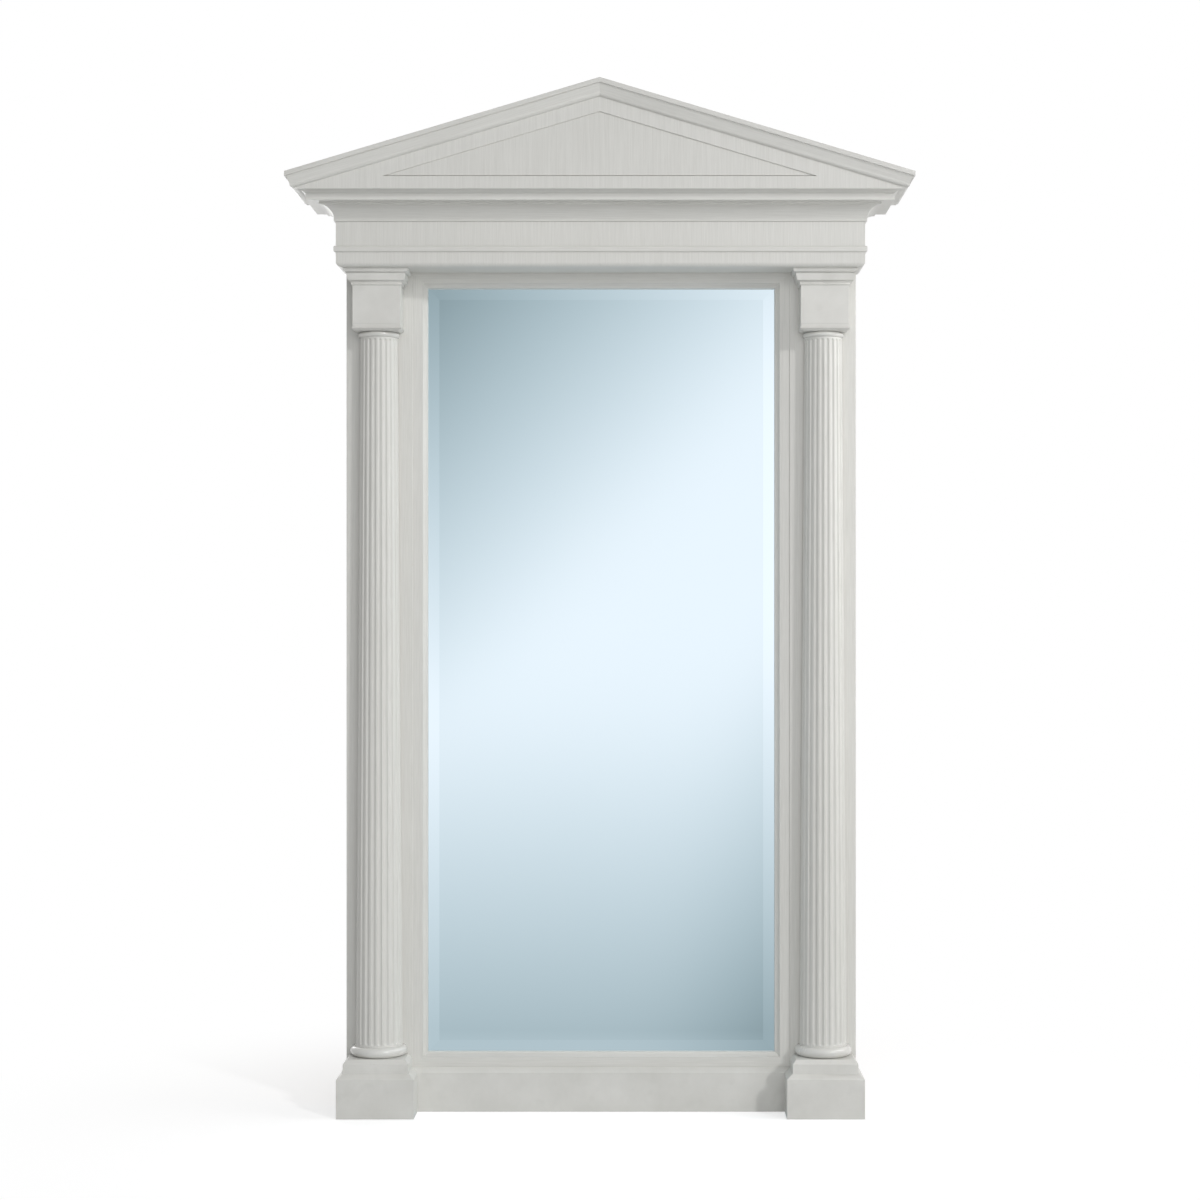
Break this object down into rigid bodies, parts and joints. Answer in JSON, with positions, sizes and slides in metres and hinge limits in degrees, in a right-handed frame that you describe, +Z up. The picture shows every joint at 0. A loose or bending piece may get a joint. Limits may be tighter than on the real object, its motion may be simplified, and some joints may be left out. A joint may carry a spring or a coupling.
{
  "type": "floor mirror",
  "caption": "Full-length floor mirror framed as a temple front: bevelled glass, fluted columns on plinths, entablature and a low triangular pediment.",
  "frame": {"origin": "on the floor, under the middle of the overall box", "axes": "+Z up, +X to the right seen from the front, the glass faces -Y and the flat back faces +Y"},
  "size_m": [1.333, 0.221, 2.221],
  "materials": {
    "painted_wood": "off-white paint, satin, with fine brushed grain",
    "silvered_glass": "polished, with a ground and polished bevel",
    "hardboard": "smooth hardboard",
    "bare_wood": "bare plywood",
    "dowel_wood": "bare beech",
    "rubber_blocks": "matt",
    "zinc_steel": "zinc plated",
    "zinc_screws": "zinc plated",
    "glide_nylon": "moulded nylon"
  },
  "bodies": {
    "mirror_stand": {"anchor_screws": "zinc_screws", "anchor_straps": "zinc_steel", "backing_board": "hardboard", "backing_screws": "zinc_screws", "base_rail": "painted_wood", "bed_mould_front": "painted_wood", "bottom_rail": "painted_wood", "bottom_sight_moulding": "painted_wood", "column_dowels": "dowel_wood", "corona_board": "painted_wood", "entablature_front": "painted_wood", "entablature_soffit": "painted_wood", "frame_dowels": "dowel_wood", "glide_inserts": "zinc_steel", "left_bed_mould_return": "painted_wood", "left_capital_block": "painted_wood", "left_capital_cap": "painted_wood", "left_column_base": "painted_wood", "left_column_shaft": "painted_wood", "left_eave_rail": "painted_wood", "left_entablature_return": "painted_wood", "left_necking_ring": "painted_wood", "left_plinth": "painted_wood", "left_plinth_cap": "painted_wood", "left_rake_moulding": "painted_wood", "left_roof_board": "painted_wood", "left_sight_moulding": "painted_wood", "left_stile": "painted_wood", "left_taenia_return": "painted_wood", "mirror_glass": "silvered_glass", "pediment_back": "bare_wood", "pediment_base": "painted_wood", "pediment_board": "painted_wood", "right_bed_mould_return": "painted_wood", "right_capital_block": "painted_wood", "right_capital_cap": "painted_wood", "right_column_base": "painted_wood", "right_column_shaft": "painted_wood", "right_eave_rail": "painted_wood", "right_entablature_return": "painted_wood", "right_necking_ring": "painted_wood", "right_plinth": "painted_wood", "right_plinth_cap": "painted_wood", "right_rake_moulding": "painted_wood", "right_roof_board": "painted_wood", "right_sight_moulding": "painted_wood", "right_stile": "painted_wood", "right_taenia_return": "painted_wood", "setting_blocks": "rubber_blocks", "taenia_front": "painted_wood", "top_rail": "painted_wood", "top_sight_moulding": "painted_wood", "tympanum_panel": "painted_wood"},
    "left_front_glide": {"left_front_glide": "glide_nylon"},
    "left_rear_glide": {"left_rear_glide": "glide_nylon"},
    "right_front_glide": {"right_front_glide": "glide_nylon"},
    "right_rear_glide": {"right_rear_glide": "glide_nylon"},
    "left_anchor_ring": {"left_anchor_ring": "zinc_steel"},
    "right_anchor_ring": {"right_anchor_ring": "zinc_steel"}
  },
  "joints": [
    {"name": "left_front_glide_level", "type": "slide", "parent": "mirror_stand", "child": "left_front_glide", "axis": [0, 0, -1], "range_m": [0, 0.01]},
    {"name": "left_rear_glide_level", "type": "slide", "parent": "mirror_stand", "child": "left_rear_glide", "axis": [0, 0, -1], "range_m": [0, 0.01]},
    {"name": "right_front_glide_level", "type": "slide", "parent": "mirror_stand", "child": "right_front_glide", "axis": [0, 0, -1], "range_m": [0, 0.01]},
    {"name": "right_rear_glide_level", "type": "slide", "parent": "mirror_stand", "child": "right_rear_glide", "axis": [0, 0, -1], "range_m": [0, 0.01]},
    {"name": "left_ring_swing", "type": "hinge", "parent": "mirror_stand", "child": "left_anchor_ring", "pos_m": [-0.4855, 0.1022, 1.6354], "axis": [1, 0, 0], "range_deg": [0, 170]},
    {"name": "right_ring_swing", "type": "hinge", "parent": "mirror_stand", "child": "right_anchor_ring", "pos_m": [0.4855, 0.1022, 1.6354], "axis": [1, 0, 0], "range_deg": [0, 170]}
  ]
}
